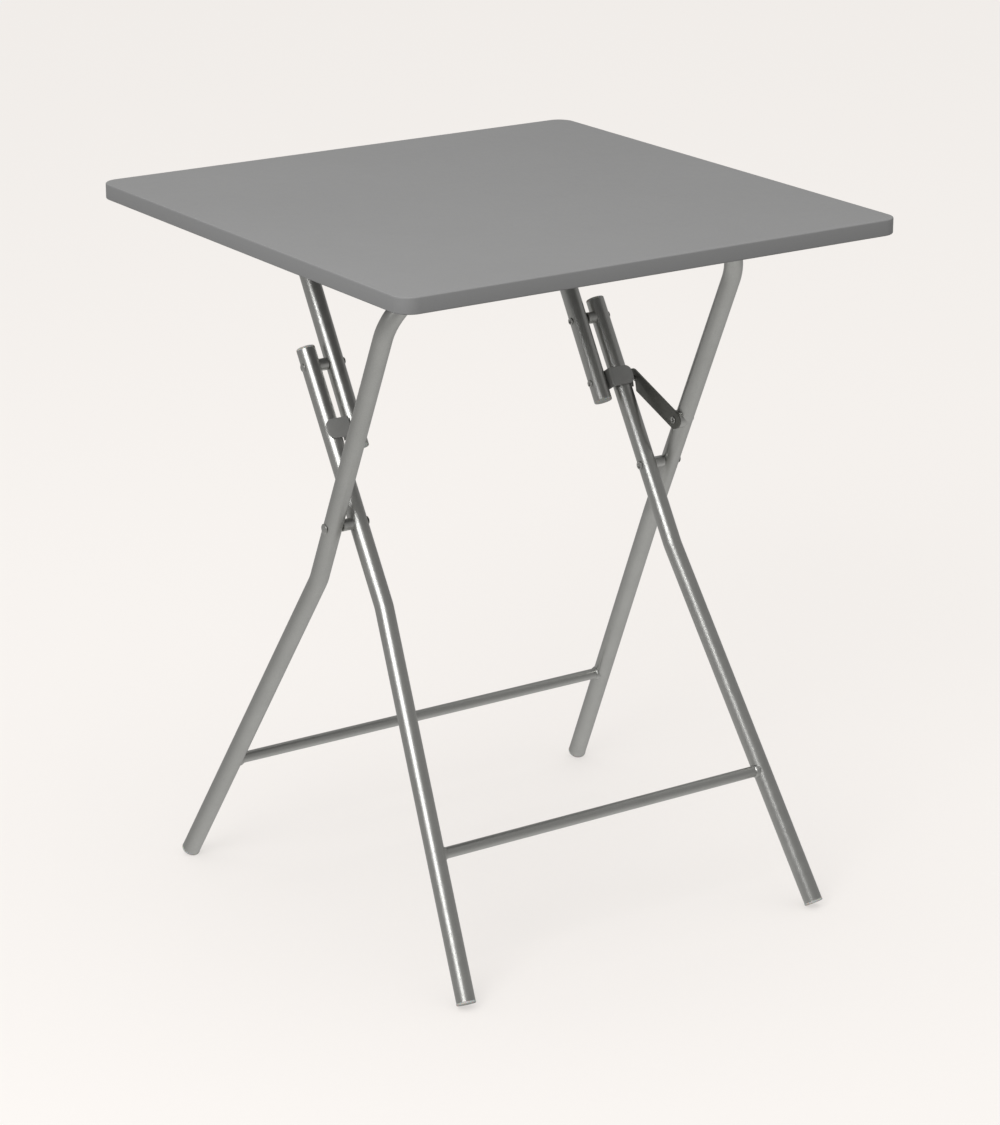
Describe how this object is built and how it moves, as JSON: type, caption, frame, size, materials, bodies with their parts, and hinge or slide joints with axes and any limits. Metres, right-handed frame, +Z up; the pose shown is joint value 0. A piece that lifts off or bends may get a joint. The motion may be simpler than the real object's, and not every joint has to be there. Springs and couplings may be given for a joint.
{
  "type": "folding table",
  "caption": "Square folding table with a plain flat top on crossed steel tube frames, a short rear frame and a hooked lock arm; it folds flat.",
  "frame": {"origin": "on the floor, under the middle of the top when the table stands open", "axes": "+X along the crossbars and hinge bars, +Y from the front edge of the top to its rear edge, +Z up"},
  "size_m": [0.6, 0.6, 0.75],
  "materials": {
    "board": "matt grey lacquered board",
    "tube": "satin silver grey paint on steel tube",
    "plate": "grey painted sheet steel",
    "dark_plate": "dark painted flat steel",
    "rivet": "bright zinc plated steel",
    "bush": "turned zinc plated steel",
    "cap": "light grey moulded plastic",
    "clip": "dark grey moulded plastic"
  },
  "bodies": {
    "middle_frame": {"middle_leg_left": "tube", "middle_leg_right": "tube", "middle_crossbar": "tube", "middle_foot_left": "cap", "middle_foot_right": "cap", "middle_cap_left": "cap", "middle_cap_right": "cap", "scissor_rivet_left": "rivet", "scissor_rivet_right": "rivet", "scissor_bush_left": "bush", "scissor_bush_right": "bush", "knee_rivet_left": "rivet", "knee_rivet_right": "rivet", "knee_bush_left": "bush", "knee_bush_right": "bush", "lock_stud": "rivet"},
    "outer_frame": {"outer_frame_tube": "tube", "outer_crossbar": "tube", "outer_foot_left": "cap", "outer_foot_right": "cap", "lock_rivet": "rivet", "lock_bush": "bush"},
    "short_frame": {"short_frame_tube": "tube", "short_cap_left": "cap", "short_cap_right": "cap", "catch_plate_left": "plate", "catch_plate_right": "plate", "catch_rivet_left": "rivet", "catch_rivet_right": "rivet"},
    "tabletop": {"tabletop_panel": "board", "hinge_clip_left": "plate", "hinge_clip_right": "plate", "front_cradle_left": "clip", "front_cradle_right": "clip", "hinge_screws": "rivet", "cradle_screws": "rivet"},
    "lock_arm": {"lock_arm": "dark_plate"}
  },
  "joints": [
    {"name": "scissor_fold", "type": "hinge", "parent": "middle_frame", "child": "outer_frame", "pos_m": [0, -0.02861, 0.43814], "axis": [-1, 0, 0], "range_deg": [0, 54.62]},
    {"name": "knee_fold", "type": "hinge", "parent": "middle_frame", "child": "short_frame", "pos_m": [0, 0.06204, 0.58383], "axis": [-1, 0, 0], "range_deg": [0, 174]},
    {"name": "top_hinge", "type": "hinge", "parent": "short_frame", "child": "tabletop", "pos_m": [0, 0.145, 0.7225], "axis": [1, 0, 0], "range_deg": [0, 57.47]},
    {"name": "lock_swing", "type": "hinge", "parent": "outer_frame", "child": "lock_arm", "pos_m": [0.2023, -0.05248, 0.491], "axis": [1, 0, 0], "range_deg": [0, 119.7]}
  ],
  "couplings": [
    {"joint": "knee_fold", "follows": "scissor_fold", "ratio": 3.1854},
    {"joint": "top_hinge", "follows": "scissor_fold", "ratio": 1.0521},
    {"joint": "lock_swing", "follows": "scissor_fold", "ratio": 2.1913}
  ]
}
